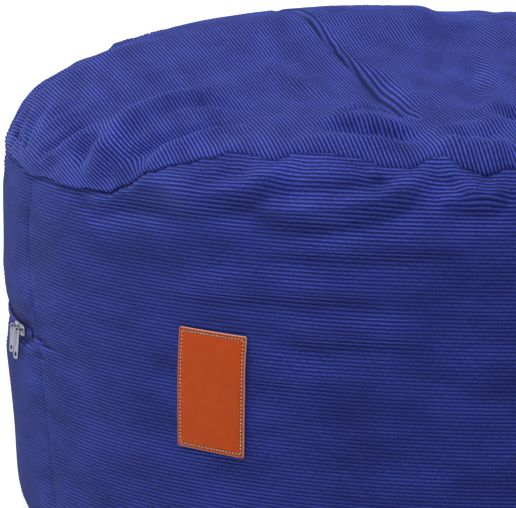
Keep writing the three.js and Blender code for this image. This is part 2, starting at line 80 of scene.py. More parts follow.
# the top seam over one sixth of the drum; the other sixths repeat it, turned or end for end
TOP_SEAM = (
    # bearing, height
    (-2.3, 296), (0.4, 291.5), (2.3, 294), (4.6, 301), (6.2, 300), (8.2, 293.6), (10.5, 294.2),
    (13.8, 298), (17.5, 300), (20.7, 299.4), (23.5, 294.6), (26, 296.4), (28.5, 298.8), (31.5, 294),
    (35.1, 288.6), (38.5, 282.8), (41.8, 272.5), (44.7, 266.7), (53, 264.6), (57, 265.8), (62.3, 263),
)
SIXTHS = (
    # from bearing, to bearing, end for end, strength of its folds, lift of its seam
    (-2.3, 62.3, False, 1, 0), (62.3, 121.4, True, 0.4, 4), (121.4, 180.5, False, 0.55, -3),
    (180.5, 239.6, True, 0.6, 3), (239.6, 298.7, False, 0.7, -2), (298.7, 357.7, True, 0.75, 1),
)
SIXTH_EASE = 0.15  # the share of a sixth over which its own strength and lift come in
SHARED_STRENGTH = 0.85  # the strength where two sixths meet

# where the band bulges up against the top panel and pulls their seam shut, as bearings in that sixth
SEAM_SHUTS = (24, 32)
SEAM_EASES, EASED_SHARE = (56, 61), 0.4
SHUT_DIP_LOST = 0.95  # the share of the seam's dip that is lost there
SEAM_LAP = 1.3  # and each edge runs on this far before it turns in

# the left upright seam, which leans; the right one mirrors it
UPRIGHT_SEAM = (
    # height, bearing
    (12, 58.6), (98, 59.2), (158, 60.3), (204, 63), (229, 63.4), (263, 62.3),
)

# folds of the band: width left and right of the path, rise, where along it the fold is strongest,
# then the path as bearing and height
BAND_FOLDS = (
    (22, 9, 9, 0.5, (
        (20, 300), (21.6, 291), (23.3, 283), (25.1, 277), (28, 273), (33, 270), (39, 269), (46, 268))),
    (6, 6, -4, 0.5, ((24, 291), (26.5, 284), (29.5, 279), (33, 278))),
    (9, 9, -3, 0.5, ((21.7, 277), (24.1, 270), (27.1, 265), (31, 263))),
    (5, 8, -3, 0.5, ((27, 294), (28.4, 292), (30.5, 291), (32.9, 288), (36, 283))),
    (22, 9, 10, 0.5, (
        (5.8, 300), (7.2, 291), (8.6, 283), (10.2, 278), (14.9, 270), (20.8, 267), (26, 269))),
    (6, 7, -6, 0.5, ((8.4, 295), (9.8, 287), (12, 281), (16, 277), (21, 275), (25, 277))),
    (11, 11, -3, 0.5, ((6.5, 277), (9.2, 268), (12.3, 263), (17.5, 258), (22.5, 258))),
    (3, 5, -3, 0.5, ((15.2, 298), (13.3, 293), (12.1, 286), (11, 284), (9, 286))),
    (5, 5, 2.5, 0.5, ((12.6, 295), (11, 291), (9.6, 293))),
    (14, 5, 9, 0.5, ((-4, 294), (-1.5, 282), (0, 278), (1.2, 279), (2.5, 286), (3.8, 292), (5.6, 298))),
    (6, 5, -3, 0.5, ((1.6, 289), (3, 287), (5, 287))),
    (6, 4, 3.5, 0.5, ((0.8, 278), (3, 276.5), (5.4, 277))),
    (10, 10, -3, 0.5, ((-3, 274), (-0.3, 269), (2.2, 268), (5, 269))),
    (13, 6, 6, 0.5, ((36, 280), (39.3, 272), (42.1, 267), (44.7, 262), (47, 261), (51, 263))),
    (10, 10, -3, 0.5, ((32, 264), (36.7, 262), (41.1, 257), (46, 253))),
    # slack waves that run level across the band
    (15, 5, 3.2, 0.5, ((2, 251), (9.2, 248.4), (16.4, 245.7), (26, 241))),
    (15, 5, 3, 0.5, ((7, 221), (19.6, 219), (27.6, 216.7), (38, 211))),
    (13, 5, 2.8, 0.5, ((5, 198), (13.3, 196.5), (22, 191))),
    (13, 6, 1.8, 0.5, ((14, 170), (26, 166))),
)
FOLD_ENDS = 0.6  # the share of the way to its strongest place over which a fold comes in

ZIP_HEIGHT = 158
ZIP_START = 63  # bearing
ZIP_EASE = (-2.5, 1.5)  # degrees from there over which the groove deepens
ZIP_FLOOR = 4.6  # half the height of the groove's floor
ZIP_LIP = 12  # half the height of the groove at the cloth's face
ZIP_DEPTH = 3.2


def smoothstep(x, low=0.0, high=1.0):
    t = np.clip((x - low) / (high - low), 0, 1)
    return t * t * (3 - 2 * t)


def eased(table, x):
    """A two-column table read at x, eased from row to row."""
    keys, values = np.array(table, float).T
    i = np.clip(np.searchsorted(keys, x, side="right") - 1, 0, len(keys) - 2)
    return values[i] + (values[i + 1] - values[i]) * smoothstep(x, keys[i], keys[i + 1])


def rounded_line(points, steps):
    """A smooth line through the points, by centripetal Catmull-Rom."""
    p = np.array(points, float)
    p = np.vstack([2 * p[0] - p[1], p, 2 * p[-1] - p[-2]])
    line = []
    for a, b, c, d in zip(p, p[1:], p[2:], p[3:]):
        knots = np.cumsum([0] + [np.hypot(*(v - u)) ** 0.5 for u, v in ((a, b), (b, c), (c, d))])
        t = np.linspace(knots[1], knots[2], steps, endpoint=False)[:, None]
        lerp = lambda u, v, i, j: ((knots[j] - t) * u + (t - knots[i]) * v) / (knots[j] - knots[i])
        first, second, third = lerp(a, b, 0, 1), lerp(b, c, 1, 2), lerp(c, d, 2, 3)
        line.append(lerp(lerp(first, second, 0, 2), lerp(second, third, 1, 3), 1, 2))
    return np.vstack([*line, points[-1]])


outline = rounded_line(SECTION, 60)
outline_length = np.concatenate([[0], np.cumsum(np.hypot(*np.diff(outline, axis=0).T))])
SECTION_LENGTH = outline_length[-1]
outline_slope = np.gradient(outline, outline_length, axis=0)


def length_at(height):
    return np.interp(height, outline[:, 1], outline_length)


def on_drum(bearing, length, rise):
    """Points at a length up the section, raised off it, turned round to a bearing."""
    radius, height = (np.interp(length, outline_length, outline[:, k]) for k in (0, 1))
    out, up = (np.interp(length, outline_length, outline_slope[:, k]) for k in (0, 1))
    radius, height = radius + up * rise, height - out * rise
    turn = np.radians(bearing)
    return np.stack([-radius * np.sin(turn), -radius * np.cos(turn), height], axis=-1)


def fold_rise(folds, x, y):
    """Rise at x, y. A fold's widths are those left and right of its path; it fades out at both ends."""
    total = np.zeros(np.broadcast(x, y).shape)
    for left, right, rise, peak, path in folds:
        nearest, along = np.full(total.shape, np.inf), np.zeros(total.shape)
        width = np.full(total.shape, float(left))
        for i, ((ax, ay), (bx, by)) in enumerate(zip(path, path[1:])):
            dx, dy = bx - ax, by - ay
            t = np.clip(((x - ax) * dx + (y - ay) * dy) / (dx * dx + dy * dy), 0, 1)
            off = np.hypot(x - ax - t * dx, y - ay - t * dy)
            closer = off < nearest
            along = np.where(closer, (i + t) / (len(path) - 1), along)
            on_left = dx * (y - ay) - dy * (x - ax) > 0
            width = np.where(closer, np.where(on_left, left, right), width)
            nearest = np.minimum(nearest, off)
        end = np.where(along < peak, along / peak, (1 - along) / (1 - peak))
        total += rise * smoothstep(end, 0, FOLD_ENDS) * np.exp(-((nearest / width) ** 2))
    return total


def wrapped(bearing):
    """The same bearing, from the start of the first sixth on."""
    return (bearing - SIXTHS[0][0]) % 360 + SIXTHS[0][0]


def signed(bearing):
    return (bearing + 180) % 360 - 180


def repeated(bearing):
    """The bearing in the first sixth that each bearing repeats, with its folds' strength and lift."""
    at = wrapped(np.asarray(bearing, float))
    source, strength, raised = np.zeros(at.shape), np.ones(at.shape), np.zeros(at.shape)
    first, last = SIXTHS[0][:2]
    for start, end, swapped, strong, lift in SIXTHS:
        here = (at >= start) & (at < end)
        share = (at - start) / (end - start)
        edge = smoothstep(np.minimum(share, 1 - share) / SIXTH_EASE)
        ease = edge if start != first else np.ones(at.shape)
        source = np.where(here, first + (last - first) * (1 - share if swapped else share), source)
        strength = np.where(here, SHARED_STRENGTH + (strong - SHARED_STRENGTH) * ease, strength)
        raised = np.where(here, lift * edge, raised)
    return source, strength, raised


def top_seam(bearing):
    source, _, lift = repeated(bearing)
    return eased(TOP_SEAM, source) + lift


def upright_seam(height):
    return eased(UPRIGHT_SEAM, height)


def across_band(degrees):
    return np.radians(degrees) * BAND_RADIUS


def off_upright(bearing, height):
    """Distance round the band from the nearer upright seam, in degrees."""
    return np.abs(np.abs(signed(bearing)) - upright_seam(height))


def band_fold_rise(folds, bearing, height):
    """Rise of folds whose paths are bearings and heights."""
    laid = [(*shape, [(across_band(b), h) for b, h in path]) for *shape, path in folds]
    return fold_rise(laid, across_band(bearing), height)


def seam_dip(distance):
    return -SEAM_DIP * np.exp(-np.abs(distance) / SEAM_REACH)


def seam_shut(bearing):
    """How far the band's bulge closes the top seam, 0 to 1."""
    source = repeated(bearing)[0]
    return smoothstep(source, *SEAM_SHUTS) * (1 - EASED_SHARE * smoothstep(source, *SEAM_EASES))


def top_seam_dip(bearing, distance):
    return seam_dip(distance) * (1 - SHUT_DIP_LOST * seam_shut(bearing))


def clear_of_seam(distance):
    """The share of a fold's rise that shows, 0 at the top seam."""
    return 1 - np.exp(-((distance / SEAM_CLEAR) ** 2))


# puckers that run forward from each end of the zip, in the band folds' measure
ZIP_PUCKERS = (
    (1.6, 2.4, -2, 0.5, ((63.6, 157.6), (61.6, 157.4), (60, 157), (58, 155.5), (55, 154))),
    (1.5, 2, -0.6, 0.4, ((66, 162.5), (63, 162.5), (60.5, 163))),
    (3, 4, 0.6, 0.5, ((62, 152), (59, 151), (56.5, 149))),
    (2, 3, -1.2, 0.4, ((62, 148), (60, 147), (57.5, 144))),
)


def zip_dip(bearing, height):
    """The groove that the zip lies in, and the puckers at its ends."""
    round_by = np.abs(signed(bearing))
    start = smoothstep(round_by - ZIP_START, *ZIP_EASE)
    groove = -ZIP_DEPTH * start * (1 - smoothstep(np.abs(height - ZIP_HEIGHT), ZIP_FLOOR, ZIP_LIP))
    return groove + band_fold_rise(ZIP_PUCKERS, round_by, height)


# folds near the rim, as the band's, but with paths as x and y in the panel laid flat; they repeat
# round the drum with the seam
RIM_FOLDS = (
    (13.1, 3.6, 8.5, 0.6, (
        (-106, -247), (-93, -255), (-79, -264), (-67, -270), (-55, -278), (-35, -286))),
    (4.7, 8.2, -6.3, 0.5, (
        (-110, -259), (-101, -263), (-86, -271), (-70, -277), (-55, -288), (-37, -298))),
    (7.2, 4.2, 5.3, 0.5, ((-98, -251), (-91, -244), (-84, -234), (-76, -228), (-67, -229))),
    (4.8, 3.6, 2.7, 0.5, ((-82, -232), (-81, -239), (-76, -253), (-68, -269))),
    (8.3, 8.3, 4.2, 0.5, ((-47, -303), (-31, -283), (-20, -280), (-7, -275), (8, -271))),
    (14.5, 14.5, 8.1, 0.5, ((-36, -313), (-7, -307), (17, -315))),
    (10.6, 10.6, 6.1, 0.5, ((-125, -284), (-87, -300), (-70, -302), (-45, -300))),
    (5.6, 5.6, -3.6, 0.5, ((-20, -286), (-18, -293), (-13, -300), (-12, -310))),
    (6.7, 6.7, -3.6, 0.5, ((-2, -281), (-3, -290), (0, -304), (1, -312))),
    (17.9, 7.7, 7.6, 0.5, (
        (-258, -246), (-231, -225), (-222, -204), (-208, -189), (-181, -180), (-145, -207))),
    (6.7, 13.5, -9.3, 0.4, ((-238, -252), (-221, -248), (-206, -244), (-171, -234), (-123, -249))),
    (6.8, 6.8, 3.6, 0.5, ((-219, -252), (-205, -255), (-189, -256), (-174, -248), (-153, -233))),
    (5.1, 6.1, 3.5, 0.5, ((-326, -168), (-294, -186), (-277, -194), (-259, -201), (-238, -205))),
    (4.2, 7.3, -5.1, 0.5, ((-312, -170), (-285, -183), (-273, -184), (-263, -184), (-251, -186))),
    (8.4, 4.2, 3, 0.5, ((-308, -150), (-286, -160), (-277, -163), (-259, -171))),
    (7.5, 7.5, -3.4, 0.5, ((-304, -117), (-287, -133), (-277, -141), (-265, -144))),
    (7.1, 9.1, -5, 0.5, ((-274, -216), (-260, -214), (-245, -220))),
    (12.2, 12.2, 5, 0.5, ((-270, -240), (-253, -236), (-237, -223))),
    (12, 12, 5, 0.5, ((-252, -254), (-223, -263), (-200, -270))),
    (8.2, 5.5, 2.8, 0.5, ((-291, -86), (-263, -98), (-235, -112), (-200, -146), (-172, -181))),
    (12, 6, 2.9, 0.5, ((-159, -108), (-135, -142), (-113, -178), (-86, -224))),
    (10.5, 10.5, 2.3, 0.5, ((-201, -86), (-184, -138), (-171, -177))),
    (5.1, 5.1, -2.3, 0.5, ((-201, -189), (-178, -196), (-165, -203), (-138, -228))),
)
# long creases and hollows across the crown, in the same flat measure
CROWN_FOLDS = (
    (2.4, 2, -9, 0.5, (
        (-176, 130), (-154, 64), (-121, -38), (-103, -88),
        (-84, -138), (-69, -192), (-56, -237), (-48, -262))),
    (7, 6, -11, 0.85, ((-98, -100), (-84, -138), (-69, -192), (-58, -228), (-48, -260))),
    (16, 14, -4, 0.6, ((-84, -138), (-69, -192), (-52, -248))),
    (10.1, 10.1, -5.7, 0.5, ((-34, 100), (-32, -35), (-33, -183))),
    (18.9, 18.9, -8, 0.5, ((-16, 150), (-14, -11), (-13, -85), (-8, -181), (-7, -260))),
    (9.8, 9.8, 5.6, 0.6, ((1, -17), (1, -134), (2, -218), (-1, -248), (5, -267), (19, -270))),
    (12.1, 12.1, -6.4, 0.5, ((3, -235), (6, -244), (12, -250), (24, -252))),
    (12, 12, -7, 0.7, ((70, 10), (110, -110), (142, -190), (160, -250))),
    (15, 15, 4, 0.6, ((120, -30), (160, -130), (186, -200))),
    (12, 12, -7, 0.7, ((60, 70), (120, 150), (150, 240))),
    (14, 14, -6, 0.6, ((-60, 100), (-90, 190), (-150, 260))),
    (70, 70, 4.5, 0.5, ((-240, 0), (-100, 5), (0, 10), (200, 20))),
    (80, 80, -9, 0.5, ((-220, 140), (0, 150), (200, 140))),
    (34, 34, -5, 0.5, ((14, -160), (16, -40), (18, 100), (40, 300))),
    (14, 14, -2.5, 0.5, ((-120, 20), (-180, 34), (-235, 40))),
    (14, 14, -5, 0.6, ((130, 30), (230, 50), (300, 90))),
    (30, 30, -3.5, 0.5, ((-310, -150), (-336, 0), (-310, 150))),
    (40, 40, -3, 0.5, ((-280, -100), (-262, 90), (-225, 150), (-150, 210))),
)

# at the front the fill has slumped, and the crown falls straight from its middle to the seam
FRONT_SLUMP = (
    # reach, rise
    (0, 0), (50, -5.5), (100, -13), (150, -19), (200, -22.5), (240, -22), (265, -18.5), (285, -14),
    (303, -8), (320, -3), (337, 0),
)
SLUMP_SIDE = (34, 84)  # bearings between which the slump dies out


def front_slump(bearing, reach):
    """The slump's rise, by the distance from the middle of the crown."""
    table = rounded_line(FRONT_SLUMP, 8)
    share = 1 - smoothstep(np.abs(signed(bearing)), *SLUMP_SIDE)
    return share * np.interp(reach, table[:, 0], table[:, 1])


def band_rise(bearing, height, below_seam):
    """How far the band's cloth stands off the even section."""
    source, strength, _ = repeated(bearing)
    rise = strength * band_fold_rise(BAND_FOLDS, source, height) * clear_of_seam(below_seam)
    upright = across_band(off_upright(bearing, height))
    dips = (top_seam_dip(bearing, below_seam) + seam_dip(height - BASE_SEAM)
            + UPRIGHT_DIP * seam_dip(upright * UPRIGHT_NARROW))
    return rise + dips + zip_dip(bearing, height)


def seam_reach(bearing):
    """Distance in the cloth from the middle of the top panel to its seam."""
    return SECTION_LENGTH - length_at(top_seam(bearing))


def flat_place(bearing, reach):
    """Where a point of the top panel lies when the panel is laid flat, x and y from its middle."""
    turn = np.radians(bearing)
    return -reach * np.sin(turn), -reach * np.cos(turn)


def top_rise(bearing, reach, inside):
    """How far the top panel stands off the even section; inside is the distance to its seam."""
    source, strength, _ = repeated(bearing)
    rim = strength * fold_rise(RIM_FOLDS, *flat_place(source, reach))
    crown = fold_rise(CROWN_FOLDS, *flat_place(bearing, reach)) + front_slump(bearing, reach)
    swelling = np.exp(-(((inside - PUFF_INSIDE) / PUFF_WIDTH) ** 2))
    puff = EDGE_PUFF * (1 - seam_shut(bearing)) * swelling
    return (rim + crown) * clear_of_seam(inside) + puff + top_seam_dip(bearing, inside)


def band_surface(bearing, height):
    """Points of the band's cloth; past a seam line the cloth turns straight in."""
    seam = length_at(top_seam(bearing))
    below = seam - length_at(height)
    lap = np.clip(-below, 0, SEAM_LAP * seam_shut(bearing))
    past = np.maximum(-below, 0) + np.maximum(BASE_SEAM - height, 0)
    rise = band_rise(bearing, np.maximum(height, BASE_SEAM), np.maximum(below, 0))
    return on_drum(bearing, seam - np.maximum(below, 0) + lap, rise - past + lap)


def top_surface(bearing, reach):
    """Points of the top panel's cloth, by the distance in it from its middle."""
    edge = seam_reach(bearing)
    held = np.minimum(reach, edge)
    lap = np.clip(reach - edge, 0, SEAM_LAP * seam_shut(bearing))
    rise = top_rise(bearing, held, edge - held) - np.maximum(reach - edge, 0) + lap
    return on_drum(bearing, SECTION_LENGTH - held - lap, rise)


# The puckers come from a cloth simulation of the whole cover: each panel is cut a little larger
# than its place, held along its seams, and blown out by the fill.
SIM_COLUMNS = 280
BAND_SHARES = np.linspace(0, 1, 40)  # of the way from the base seam up to the top seam
PUCKERS_IN = (0.14, 0.3)  # of the way out to the top seam, over which the crown's puckers come in
TOP_SHARES = np.linspace(1, PUCKERS_IN[0], 44)  # of the same way
SIM_FRAMES = 16
SPARE_CLOTH_AWAY = 0.008  # share of its length that a panel is cut too large by
SPARE_CLOTH_AT_SEAMS = 0.06
GATHER_REACH = 34  # how far from a seam the gathered cloth is still loose
GATHER_STEPS = 10
SMOOTH_CELLS = 4  # swellings wider than this many cells are left out, as the folds above give them
PUFF_LIMIT = 3.5  # the most that a pucker stands off


def placed(name, data):
    """A new object in the scene."""
    made = bpy.data.objects.new(name, data)
    bpy.context.scene.collection.objects.link(made)
    return made


def blurred(grid, cells):
    """A grid of vectors averaged over that many cells each way; it wraps round its columns."""
    for axis in (0, 1):
        for _ in range(3):
            pad = [(0, 0)] * 3
            pad[axis] = (cells, cells)
            padded = np.pad(grid, pad, mode="wrap" if axis else "reflect")
            total = np.cumsum(padded, axis=axis)
            total = np.concatenate([np.zeros_like(np.take(total, [0], axis=axis)), total], axis=axis)
            upper = np.take(total, np.arange(2 * cells + 1, total.shape[axis]), axis=axis)
            lower = np.take(total, np.arange(total.shape[axis] - 2 * cells - 1), axis=axis)
            grid = (upper - lower) / (2 * cells + 1)
    return grid


def settle(start, held, loose):
    """Where a ring of cloth comes to rest from its start, a grid of points. It is pinned where held
    isn't 0, and has the more spare length the nearer loose is to 1."""
    index = np.arange(held.size).reshape(held.shape)
    beside = np.roll(index, -1, axis=1)
    faces = np.stack([index[:-1], index[1:], beside[1:], beside[:-1]], axis=-1).reshape(-1, 4)
    mesh = bpy.data.meshes.new("settling")
    mesh.from_pydata((start.reshape(-1, 3) * MM).tolist(), [], faces.tolist())
    cover = placed("settling", mesh)
    pins = cover.vertex_groups.new(name="sewn")
    pins.add(np.flatnonzero(held.ravel() > 0).tolist(), 1, "REPLACE")
    gathered = cover.vertex_groups.new(name="near_a_seam")
    steps = np.ceil(loose.ravel() * GATHER_STEPS)
    for number in range(1, GATHER_STEPS + 1):
        gathered.add(np.flatnonzero(steps == number).tolist(), number / GATHER_STEPS, "REPLACE")
    cloth = cover.modifiers.new("settling", "CLOTH")
    settings = cloth.settings
    settings.vertex_group_mass = "sewn"
    settings.quality, settings.mass, settings.air_damping = 6, 0.25, 3
    settings.tension_stiffness = settings.compression_stiffness = 18
    settings.shear_stiffness, settings.bending_stiffness = 6, 3
    settings.vertex_group_shrink = "near_a_seam"
    settings.shrink_min, settings.shrink_max = -SPARE_CLOTH_AWAY, -SPARE_CLOTH_AT_SEAMS
    settings.use_pressure, settings.uniform_pressure_force = True, 3
    settings.effector_weights.gravity = 0
    cloth.collision_settings.use_collision = False
    cloth.point_cache.frame_start, cloth.point_cache.frame_end = 1, SIM_FRAMES
    for step in range(1, SIM_FRAMES + 1):
        bpy.context.scene.frame_set(step)
    settled = cover.evaluated_get(bpy.context.evaluated_depsgraph_get()).to_mesh()
    end = np.empty(start.size, np.float32)
    settled.vertices.foreach_get("co", end)
    bpy.data.objects.remove(cover)
    bpy.context.scene.frame_set(1)
    return end.reshape(start.shape) / MM


def settled_puckers():
    """How the simulated cloth moves off its smooth shape: one grid for the band, one for the top."""
    bearing = np.arange(SIM_COLUMNS) * 360 / SIM_COLUMNS
    band_height = BASE_SEAM + BAND_SHARES[:, None] * (top_seam(bearing) - BASE_SEAM)
    band = band_surface(bearing, band_height)
    top = top_surface(bearing, TOP_SHARES[1:, None] * seam_reach(bearing))
    start = np.concatenate([band, top])
    held = np.zeros(start.shape[:2])
    seam_row = len(band) - 1
    held[[0, seam_row, -1]] = 1
    held[:len(band)] += zip_dip(bearing, band_height) < -0.5 * ZIP_DEPTH
    held[:len(band)] += off_upright(bearing, band_height) < 180 / SIM_COLUMNS
    below = top_seam(bearing) - band_height
    inside = (1 - TOP_SHARES[1:, None]) * seam_reach(bearing)
    loose = np.exp(-((np.concatenate([below, inside]) / GATHER_REACH) ** 2))
    moved = settle(start, held, loose) - start
    grids = []
    for part in (moved[:seam_row + 1], moved[seam_row:]):
        fine = part - blurred(part, SMOOTH_CELLS)
        size = np.linalg.norm(fine, axis=-1, keepdims=True)
        grids.append(fine * np.tanh(size / PUFF_LIMIT) * PUFF_LIMIT / np.maximum(size, 1e-6))
    return grids


def between(grid, row, column):
    """A grid read between its points, by Catmull-Rom each way."""
    def weights(t):
        return ((-t + 2 * t * t - t**3) / 2, (2 - 5 * t * t + 3 * t**3) / 2,
                (t + 4 * t * t - 3 * t**3) / 2, (t**3 - t * t) / 2)
    i, j = np.floor(row).astype(int), np.floor(column).astype(int)
    total = 0
    for di, wi in enumerate(weights(row - i)):
        for dj, wj in enumerate(weights(column - j)):
            at = grid[np.clip(i + di - 1, 0, grid.shape[0] - 1), (j + dj - 1) % grid.shape[1]]
            total = total + (wi * wj)[..., None] * at
    return total


band_puckers, top_puckers = settled_puckers()


def sim_column(bearing):
    return bearing % 360 * SIM_COLUMNS / 360


def cloth_point(bearing, height):
    """A point of the band with its puckers."""
    share = (height - BASE_SEAM) / (top_seam(bearing) - BASE_SEAM)
    row = np.clip(share, 0, 1) * (len(BAND_SHARES) - 1)
    return band_surface(bearing, height) + between(band_puckers, row, sim_column(bearing))


def top_point(bearing, reach):
    """A point of the top panel with its puckers, which die out towards the middle."""
    share = np.clip(reach / seam_reach(bearing), 0, 1)
    last = len(TOP_SHARES) - 1
    row = np.minimum((1 - share) / (1 - TOP_SHARES[-1]) * last, last)
    moved = between(top_puckers, row, sim_column(bearing))
    return top_surface(bearing, reach) + moved * smoothstep(share, *PUCKERS_IN)[..., None]

# ---- Front strip of the side band ---------------------------------------------------------------
# One long strip of corduroy wraps the front of the drum with its wales running level round it.
# Its upper edge is sewn to the top panel in a plain seam, and the gathered cloth puckers there.

WALE = 2.31  # corduroy of 11 wales to the inch
WALE_ROWS = 3  # mesh rows to a wale: the groove and the rib's two shoulders
RIB_HEIGHT = 0.9
RIB_FADE = 1.5  # how far from the top seam the ribs are pressed down
RIBS_AT_SEAM, RIBS_WHERE_SHUT = 0.2, 0.75  # the share of their height that stays, and what is added
RIBS_PAST = 0.4  # how far the ribs go on past the seam
BAND_TOP = 306  # how high the strips are cut, before they are trimmed along the top seam
FRONT_STEP, BACK_STEP = 4.2, 6.4  # between the mesh's columns


def normals_of(points):
    """Outward normals of a grid of points, rows up and columns to the left."""
    up = np.gradient(points, axis=0)
    left = np.gradient(points, axis=1)
    n = np.cross(left, up)
    return n / np.maximum(np.linalg.norm(n, axis=-1, keepdims=True), 1e-9)


def rib(wales):
    """Height of the pile across the wales, 0 in a groove to 1 on a rib."""
    return np.clip(1.15 * (0.5 - 0.5 * np.cos(2 * np.pi * wales)) ** 0.6, 0, 1)


def ribs_left(bearing, inside):
    """The share of their height that ribs keep, by their distance inside the top seam."""
    shut = seam_shut(bearing)
    pressed = np.clip(inside / RIB_FADE, RIBS_AT_SEAM + RIBS_WHERE_SHUT * shut, 1)
    return pressed * (inside > -RIBS_PAST - SEAM_LAP * shut)


def level_out(points):
    """The level direction out from the drum's axis at each point."""
    level = points * np.array([1, 1, 0])
    return level / np.linalg.norm(level, axis=-1, keepdims=True)


def cloth_mesh(name, points, keep, **layers):
    """A grid of cloth in metres, with layers of values at its points, such as their wale number."""
    rows, columns = points.shape[:2]
    index = np.arange(rows * columns).reshape(rows, columns)
    quads = np.stack([index[:-1, :-1], index[:-1, 1:], index[1:, 1:], index[1:, :-1]], axis=-1)
    whole = keep[:-1, :-1] & keep[:-1, 1:] & keep[1:, 1:] & keep[1:, :-1]
    quads = quads[whole]
    used, quads = np.unique(quads, return_inverse=True)
    quads = quads.reshape(-1, 4)
    mesh = bpy.data.meshes.new(name)
    mesh.vertices.add(len(used))
    mesh.vertices.foreach_set("co", (points.reshape(-1, 3)[used] * MM).ravel())
    mesh.loops.add(quads.size)
    mesh.loops.foreach_set("vertex_index", quads.ravel())
    mesh.polygons.add(len(quads))
    mesh.polygons.foreach_set("loop_start", np.arange(0, quads.size, 4))
    mesh.update(calc_edges=True)
    mesh.shade_smooth()
    for label, values in layers.items():
        layer = mesh.attributes.new(label, "FLOAT", "POINT")
        layer.data.foreach_set("value", np.broadcast_to(values, points.shape[:2]).ravel()[used])
    u = np.broadcast_to(np.linspace(0, 1, columns), (rows, columns)).ravel()[used][quads.ravel()]
    v = np.broadcast_to(np.linspace(0, 1, rows)[:, None], (rows, columns)).ravel()[used][quads.ravel()]
    mesh.uv_layers.new(name="OFBake").data.foreach_set("uv", np.stack([u, v], axis=-1).ravel())
    return placed(name, mesh)


def wale_rows(low, high):
    """Wale numbers from a low place to a high one, a third of a wale apart."""
    return np.arange(math.floor(low / WALE), math.ceil(high / WALE) + 1e-6, 1 / WALE_ROWS)


def strip_shares(length, step):
    """Shares of the way along a strip, closer at its ends, which are turned in."""
    ends = np.array([0, 0.5, 1]) * TURN_IN / length
    first = ends[-1] * 1.4
    return np.concatenate([ends, np.linspace(first, 1 - first, int(length / step)), 1 - ends[::-1]])


def make_strip(name, low, high, side_edges, step):
    """A strip of the band. low and high give its two long edges' heights by bearing, and side_edges
    its two ends' bearings by height."""
    start, end = (float(edge[0]) for edge in side_edges(np.array([BAND_RADIUS / 2])))
    around = np.linspace(start, end, 90)
    wales = wale_rows(low(around).min(), high(around).max())[:, None]
    shares = strip_shares(abs(across_band(end - start)), step)
    height = wales * WALE * np.ones(len(shares))
    start, end = side_edges(wales * WALE)
    bearing = start + (end - start) * shares
    low, high = low(bearing), high(bearing)
    points = cloth_point(bearing, np.clip(height, low, high))
    off_end = np.minimum(shares, 1 - shares) * across_band(np.abs(end - start))
    past_fold = np.maximum(height - high, low - height)
    inward = np.maximum(TURN_IN - off_end, 0) + np.maximum(past_fold, 0)
    points = points - inward[..., None] * level_out(points)
    left = np.clip(off_end / TURN_IN, 0, 1) * ribs_left(bearing, top_seam(bearing) - height)
    points = points + normals_of(points) * (rib(wales) * RIB_HEIGHT * left)[..., None]
    keep = (height < top_seam(bearing) + TURN_IN) & (past_fold < WALE / 2)
    return cloth_mesh(name, points, keep, wales=wales, along=across_band(bearing))


def past_upright(height, turned_in):
    """Bearing of a strip's end, which is turned in past the upright seam."""
    return upright_seam(height) + np.degrees(turned_in / BAND_RADIUS)


def band_foot(bearing):
    return BASE_SEAM - TURN_IN + 0 * bearing


def band_top(bearing):
    return BAND_TOP + 0 * bearing


front_band = make_strip("front_band", band_foot, band_top,
                        lambda h: (-past_upright(h, TURN_IN), past_upright(h, TURN_IN)), FRONT_STEP)


def linear(hex_colour):
    parts = [int(hex_colour[i:i + 2], 16) / 255 for i in (1, 3, 5)]
    return [p / 12.92 if p <= 0.04045 else ((p + 0.055) / 1.055) ** 2.4 for p in parts] + [1]


def add_node(material, kind, links=None, **settings):
    """Adds a node, sets its properties, and fills its inputs with values or other nodes' outputs."""
    made = material.node_tree.nodes.new(kind)
    for key, value in settings.items():
        setattr(made, key, value)
    for socket, value in (links or {}).items():
        if isinstance(value, bpy.types.NodeSocket):
            material.node_tree.links.new(value, made.inputs[socket])
        else:
            made.inputs[socket].default_value = value
    return made


def new_material(name):
    material = bpy.data.materials.new(name)
    material.use_nodes = True
    material.node_tree.nodes.clear()
    return material


def colour_ramp(material, factor, stops):
    made = add_node(material, "ShaderNodeValToRGB", {"Fac": factor})
    made.color_ramp.elements.remove(made.color_ramp.elements[1])
    for i, (place, colour) in enumerate(stops):
        element = made.color_ramp.elements[0] if i == 0 else made.color_ramp.elements.new(place)
        element.position, element.color = place, linear(colour)
    return made.outputs["Color"]


